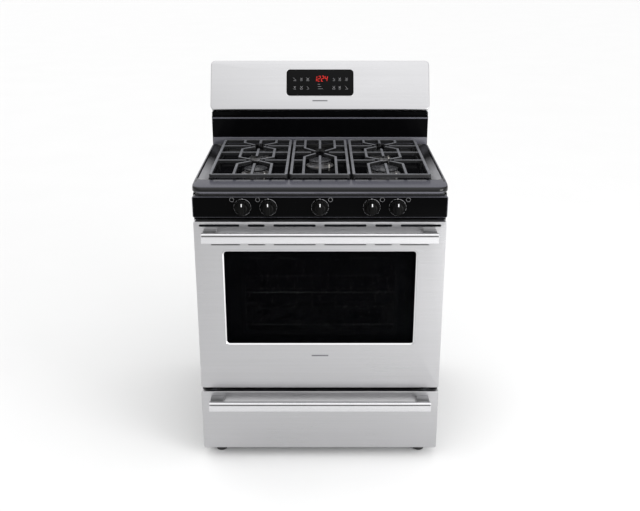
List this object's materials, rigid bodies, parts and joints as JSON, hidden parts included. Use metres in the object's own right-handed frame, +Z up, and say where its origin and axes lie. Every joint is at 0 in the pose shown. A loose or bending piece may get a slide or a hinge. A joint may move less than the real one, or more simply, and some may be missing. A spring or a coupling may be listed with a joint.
{
  "type": "freestanding gas range",
  "caption": "Freestanding gas range with grates over sealed burners, front knobs, a sloping backguard display, a windowed oven door and a storage drawer.",
  "frame": {"origin": "on the floor under the centre of the range's bounding box", "axes": "+Z up, +Y towards the rear panel, +X to the right of someone facing the oven door"},
  "size_m": [0.759, 0.733, 1.193],
  "materials": {
    "brushed_steel": "fine brushed grain, satin",
    "black_enamel": "glossy black enamel",
    "grey_enamel": "dark speckled oven enamel, semi-gloss",
    "cast_iron": "matte grey-black enamel over cast iron",
    "burner_alloy": "cast, satin",
    "body_paint": "dark textured paint",
    "galvanised": "galvanised sheet",
    "black_plastic": "black moulded plastic",
    "dark_glass": "black tinted glass, polished",
    "clear_glass": "clear heat-resistant glass",
    "wire_steel": "plated wire",
    "brass": "machined brass",
    "gasket_fibre": "woven glass-fibre braid"
  },
  "bodies": {
    "root": {"left_side_panel": "body_paint", "right_side_panel": "body_paint", "rear_panel": "galvanised", "base_frame": "galvanised", "front_frame": "black_enamel", "gas_regulator": "burner_alloy", "oven_liner": "grey_enamel", "oven_floor": "grey_enamel", "bake_burner": "burner_alloy", "broil_burner": "burner_alloy", "oven_lamp": "clear_glass", "door_gasket": "gasket_fibre", "door_hinge_left": "galvanised", "door_hinge_right": "galvanised", "drawer_rail_left": "galvanised", "drawer_rail_right": "galvanised", "control_panel": "black_enamel", "gas_manifold": "brass", "cooktop": "black_enamel", "burner_head_front_left": "burner_alloy", "burner_head_rear_left": "burner_alloy", "burner_head_centre": "burner_alloy", "burner_head_front_right": "burner_alloy", "burner_head_rear_right": "burner_alloy", "backguard_riser": "black_enamel", "backguard_fascia": "brushed_steel", "backguard_back": "galvanised", "display_glass": "dark_glass"},
    "door": {"door_skin": "brushed_steel", "door_window": "dark_glass", "door_inner_panel": "grey_enamel", "door_inner_glass": "clear_glass", "door_handle": "brushed_steel"},
    "drawer": {"drawer_front": "brushed_steel", "drawer_box": "body_paint", "drawer_handle": "brushed_steel"},
    "rack_lower": {"oven_rack_1": "wire_steel"},
    "rack_upper": {"oven_rack_2": "wire_steel"},
    "stem_1": {"valve_stem_1": "galvanised"},
    "dial_1": {"knob_1": "black_plastic"},
    "stem_2": {"valve_stem_2": "galvanised"},
    "dial_2": {"knob_2": "black_plastic"},
    "stem_3": {"valve_stem_3": "galvanised"},
    "dial_3": {"knob_3": "black_plastic"},
    "stem_4": {"valve_stem_4": "galvanised"},
    "dial_4": {"knob_4": "black_plastic"},
    "stem_5": {"valve_stem_5": "galvanised"},
    "dial_5": {"knob_5": "black_plastic"},
    "cap_front_left": {"burner_cap_front_left": "cast_iron"},
    "cap_rear_left": {"burner_cap_rear_left": "cast_iron"},
    "cap_centre": {"burner_cap_centre": "cast_iron"},
    "cap_front_right": {"burner_cap_front_right": "cast_iron"},
    "cap_rear_right": {"burner_cap_rear_right": "cast_iron"},
    "grate_left_body": {"grate_left": "cast_iron"},
    "grate_centre_body": {"grate_centre": "cast_iron"},
    "grate_right_body": {"grate_right": "cast_iron"},
    "foot_front_left": {"leg_front_left": "black_plastic"},
    "foot_front_right": {"leg_front_right": "black_plastic"},
    "foot_rear_left": {"leg_rear_left": "black_plastic"},
    "foot_rear_right": {"leg_rear_right": "black_plastic"}
  },
  "joints": [
    {"name": "door_swing", "type": "hinge", "parent": "root", "child": "door", "pos_m": [0, -0.297, 0.262], "axis": [1, 0, 0], "range_deg": [0, 90], "stiffness_Nm_per_rad": 8, "springref_deg": -8.59},
    {"name": "drawer_slide", "type": "slide", "parent": "root", "child": "drawer", "axis": [0, -1, 0], "range_m": [0, 0.4]},
    {"name": "rack_lower_slide", "type": "slide", "parent": "root", "child": "rack_lower", "axis": [0, -1, 0], "range_m": [0, 0.015]},
    {"name": "rack_upper_slide", "type": "slide", "parent": "root", "child": "rack_upper", "axis": [0, -1, 0], "range_m": [0, 0.015]},
    {"name": "knob_1_push", "type": "slide", "parent": "root", "child": "stem_1", "axis": [0, 1, 0], "range_m": [0, 0.0035], "stiffness_N_per_m": 800, "springref_m": -0.001},
    {"name": "knob_1_turn", "type": "hinge", "parent": "stem_1", "child": "dial_1", "pos_m": [-0.2303, -0.31, 0.8455], "axis": [0, -1, 0], "range_deg": [0, 270]},
    {"name": "knob_2_push", "type": "slide", "parent": "root", "child": "stem_2", "axis": [0, 1, 0], "range_m": [0, 0.0035], "stiffness_N_per_m": 800, "springref_m": -0.001},
    {"name": "knob_2_turn", "type": "hinge", "parent": "stem_2", "child": "dial_2", "pos_m": [-0.1534, -0.31, 0.8455], "axis": [0, -1, 0], "range_deg": [0, 270]},
    {"name": "knob_3_push", "type": "slide", "parent": "root", "child": "stem_3", "axis": [0, 1, 0], "range_m": [0, 0.0035], "stiffness_N_per_m": 800, "springref_m": -0.001},
    {"name": "knob_3_turn", "type": "hinge", "parent": "stem_3", "child": "dial_3", "pos_m": [0, -0.31, 0.8455], "axis": [0, -1, 0], "range_deg": [0, 270]},
    {"name": "knob_4_push", "type": "slide", "parent": "root", "child": "stem_4", "axis": [0, 1, 0], "range_m": [0, 0.0035], "stiffness_N_per_m": 800, "springref_m": -0.001},
    {"name": "knob_4_turn", "type": "hinge", "parent": "stem_4", "child": "dial_4", "pos_m": [0.1534, -0.31, 0.8455], "axis": [0, -1, 0], "range_deg": [0, 270]},
    {"name": "knob_5_push", "type": "slide", "parent": "root", "child": "stem_5", "axis": [0, 1, 0], "range_m": [0, 0.0035], "stiffness_N_per_m": 800, "springref_m": -0.001},
    {"name": "knob_5_turn", "type": "hinge", "parent": "stem_5", "child": "dial_5", "pos_m": [0.2303, -0.31, 0.8455], "axis": [0, -1, 0], "range_deg": [0, 270]},
    {"name": "cap_front_left_lift", "type": "slide", "parent": "root", "child": "cap_front_left", "axis": [0, 0, 1], "range_m": [0, 0.005]},
    {"name": "cap_rear_left_lift", "type": "slide", "parent": "root", "child": "cap_rear_left", "axis": [0, 0, 1], "range_m": [0, 0.005]},
    {"name": "cap_centre_lift", "type": "slide", "parent": "root", "child": "cap_centre", "axis": [0, 0, 1], "range_m": [0, 0.005]},
    {"name": "cap_front_right_lift", "type": "slide", "parent": "root", "child": "cap_front_right", "axis": [0, 0, 1], "range_m": [0, 0.005]},
    {"name": "cap_rear_right_lift", "type": "slide", "parent": "root", "child": "cap_rear_right", "axis": [0, 0, 1], "range_m": [0, 0.005]},
    {"name": "grate_left_lift", "type": "slide", "parent": "root", "child": "grate_left_body", "axis": [0, 0, 1], "range_m": [0, 0.12]},
    {"name": "grate_centre_lift", "type": "slide", "parent": "root", "child": "grate_centre_body", "axis": [0, 0, 1], "range_m": [0, 0.12]},
    {"name": "grate_right_lift", "type": "slide", "parent": "root", "child": "grate_right_body", "axis": [0, 0, 1], "range_m": [0, 0.12]},
    {"name": "leg_front_left_turn", "type": "hinge", "parent": "root", "child": "foot_front_left", "pos_m": [-0.326, -0.256, 0.02], "axis": [0, 0, 1], "continuous": true},
    {"name": "leg_front_right_turn", "type": "hinge", "parent": "root", "child": "foot_front_right", "pos_m": [0.326, -0.256, 0.02], "axis": [0, 0, 1], "continuous": true},
    {"name": "leg_rear_left_turn", "type": "hinge", "parent": "root", "child": "foot_rear_left", "pos_m": [-0.326, 0.33, 0.02], "axis": [0, 0, 1], "continuous": true},
    {"name": "leg_rear_right_turn", "type": "hinge", "parent": "root", "child": "foot_rear_right", "pos_m": [0.326, 0.33, 0.02], "axis": [0, 0, 1], "continuous": true}
  ]
}
